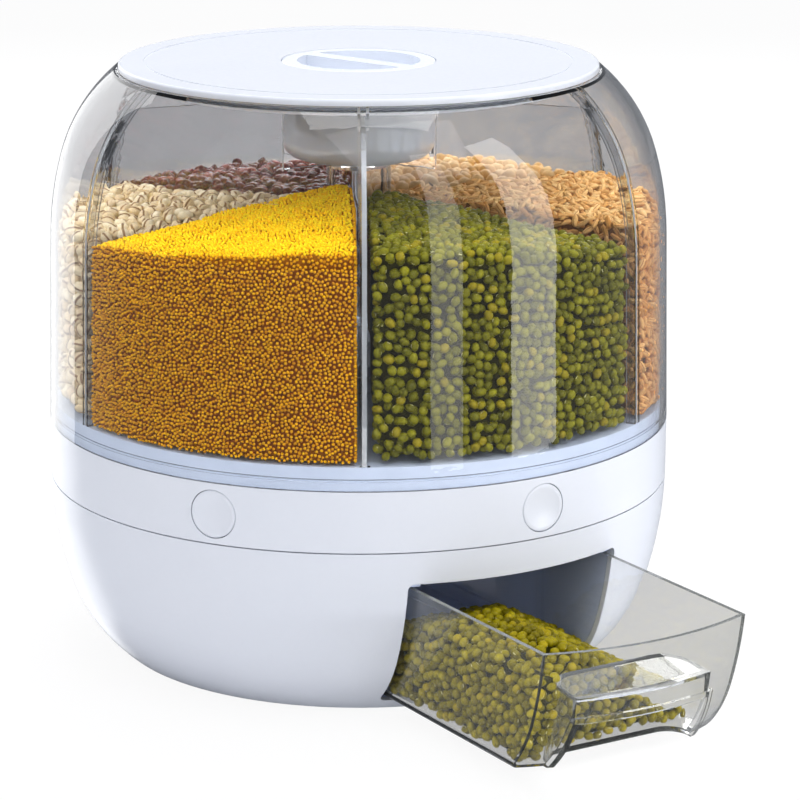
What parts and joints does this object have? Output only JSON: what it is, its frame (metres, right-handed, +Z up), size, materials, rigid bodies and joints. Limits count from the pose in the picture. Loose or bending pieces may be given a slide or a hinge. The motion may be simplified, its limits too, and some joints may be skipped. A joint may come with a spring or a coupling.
{
  "type": "cereal storage container",
  "caption": "Round turning grain dispenser with wedge cells, push buttons under the clear tank, a lid with a twist cap and a clear drawer in the base.",
  "frame": {"origin": "On the floor, on the turntable's axis, at the middle of the centre foot's lower face.", "axes": "+Z up along the turntable's axis. The drawer pulls out along -Y, with +X to the right when facing the drawer."},
  "size_m": [0.3016, 0.4033, 0.2863],
  "materials": {
    "white_plastic": "smooth gloss",
    "cap_plastic": "smooth gloss",
    "bay_plastic": "fine satin",
    "inner_plastic": "satin",
    "clear_plastic": "clear, polished",
    "drawer_plastic": "clear, polished",
    "rubber_parts": "soft matte",
    "steel_parts": "zinc plated",
    "pack_cover": "grey non-woven"
  },
  "bodies": {
    "base": {"base_bowl": "white_plastic", "rubber_feet": "rubber_parts", "centre_foot": "rubber_parts", "drawer_bay": "bay_plastic", "base_deck": "white_plastic", "deck_screws": "steel_parts", "pivot_bolt": "steel_parts", "pivot_washer": "steel_parts", "pivot_nut": "steel_parts"},
    "bearing": {"ball_cage": "inner_plastic", "bearing_balls": "steel_parts"},
    "turntable": {"turntable_ring": "white_plastic", "gate_guides": "inner_plastic", "hopper_floor": "inner_plastic", "hopper_screws": "steel_parts", "tank_shell": "clear_plastic", "cell_divider": "clear_plastic", "return_spring_1": "steel_parts", "return_spring_2": "steel_parts", "return_spring_3": "steel_parts", "return_spring_4": "steel_parts", "return_spring_5": "steel_parts", "return_spring_6": "steel_parts"},
    "dispenser_1": {"button_1": "white_plastic", "gate_1": "inner_plastic"},
    "dispenser_2": {"button_2": "white_plastic", "gate_2": "inner_plastic"},
    "dispenser_3": {"button_3": "white_plastic", "gate_3": "inner_plastic"},
    "dispenser_4": {"button_4": "white_plastic", "gate_4": "inner_plastic"},
    "dispenser_5": {"button_5": "white_plastic", "gate_5": "inner_plastic"},
    "dispenser_6": {"button_6": "white_plastic", "gate_6": "inner_plastic"},
    "lid": {"lid_disc": "white_plastic", "lid_seal": "rubber_parts", "moisture_cup": "clear_plastic", "desiccant_pack": "pack_cover"},
    "cap": {"moisture_cap": "cap_plastic"},
    "drawer": {"drawer_box": "drawer_plastic"}
  },
  "joints": [
    {"name": "turntable_spin", "type": "hinge", "parent": "base", "child": "turntable", "pos_m": [0, 0, 0.0861], "axis": [0, 0, 1], "continuous": true},
    {"name": "cage_spin", "type": "hinge", "parent": "base", "child": "bearing", "pos_m": [0, 0, 0.08455], "axis": [0, 0, 1], "continuous": true},
    {"name": "button_press_1", "type": "slide", "parent": "turntable", "child": "dispenser_1", "axis": [-0.0523, 0.9986, 0], "range_m": [0, 0.012], "stiffness_N_per_m": 300, "springref_m": -0.004, "deforming": ["return_spring_1"]},
    {"name": "button_press_2", "type": "slide", "parent": "turntable", "child": "dispenser_2", "axis": [-0.891, 0.454, 0], "range_m": [0, 0.012], "stiffness_N_per_m": 300, "springref_m": -0.004, "deforming": ["return_spring_2"]},
    {"name": "button_press_3", "type": "slide", "parent": "turntable", "child": "dispenser_3", "axis": [-0.8387, -0.5446, 0], "range_m": [0, 0.012], "stiffness_N_per_m": 300, "springref_m": -0.004, "deforming": ["return_spring_3"]},
    {"name": "button_press_4", "type": "slide", "parent": "turntable", "child": "dispenser_4", "axis": [0.0523, -0.9986, 0], "range_m": [0, 0.012], "stiffness_N_per_m": 300, "springref_m": -0.004, "deforming": ["return_spring_4"]},
    {"name": "button_press_5", "type": "slide", "parent": "turntable", "child": "dispenser_5", "axis": [0.891, -0.454, 0], "range_m": [0, 0.012], "stiffness_N_per_m": 300, "springref_m": -0.004, "deforming": ["return_spring_5"]},
    {"name": "button_press_6", "type": "slide", "parent": "turntable", "child": "dispenser_6", "axis": [0.8387, 0.5446, 0], "range_m": [0, 0.012], "stiffness_N_per_m": 300, "springref_m": -0.004, "deforming": ["return_spring_6"]},
    {"name": "lid_lift", "type": "slide", "parent": "turntable", "child": "lid", "axis": [0, 0, 1], "range_m": [0, 0.08]},
    {"name": "cap_twist", "type": "hinge", "parent": "lid", "child": "cap", "pos_m": [0, 0, 0.2863], "axis": [0, 0, 1], "range_deg": [0, 50]},
    {"name": "drawer_slide", "type": "slide", "parent": "base", "child": "drawer", "axis": [0, -1, 0], "range_m": [-0.103, 0.05]}
  ],
  "couplings": [
    {"joint": "cage_spin", "follows": "turntable_spin", "ratio": 0.5}
  ]
}
